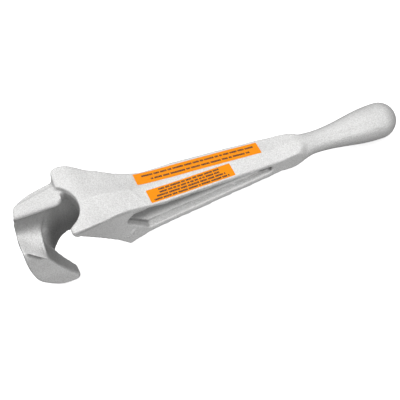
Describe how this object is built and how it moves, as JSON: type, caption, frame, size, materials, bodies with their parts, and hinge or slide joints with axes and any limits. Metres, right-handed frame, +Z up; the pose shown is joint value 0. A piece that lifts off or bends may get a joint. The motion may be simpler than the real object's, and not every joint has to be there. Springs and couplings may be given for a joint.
{
  "type": "valve wheel wrench",
  "caption": "One-piece cast aluminium valve wheel wrench: claw and spoke notch at one end, tapered channelled beam, bulb handle, two adhesive labels on top.",
  "frame": {"origin": "centre of the base of the bounding box, at the level of the surface that the claw and the bulb stand on", "axes": "+X from the head towards the handle, +Y towards the far prong that carries the hook, +Z up, out of the face that carries the labels (the tool leans down towards the handle by 10.4 degrees)"},
  "size_m": [0.3973, 0.0808, 0.1124],
  "materials": {
    "cast_aluminium": "shot-blasted sand casting, matt silver grey",
    "label_vinyl": "orange vinyl label with rows of illegible dark dashes"
  },
  "bodies": {
    "root": {"wrench_body": "cast_aluminium", "long_label": "label_vinyl", "short_label": "label_vinyl"}
  },
  "joints": []
}
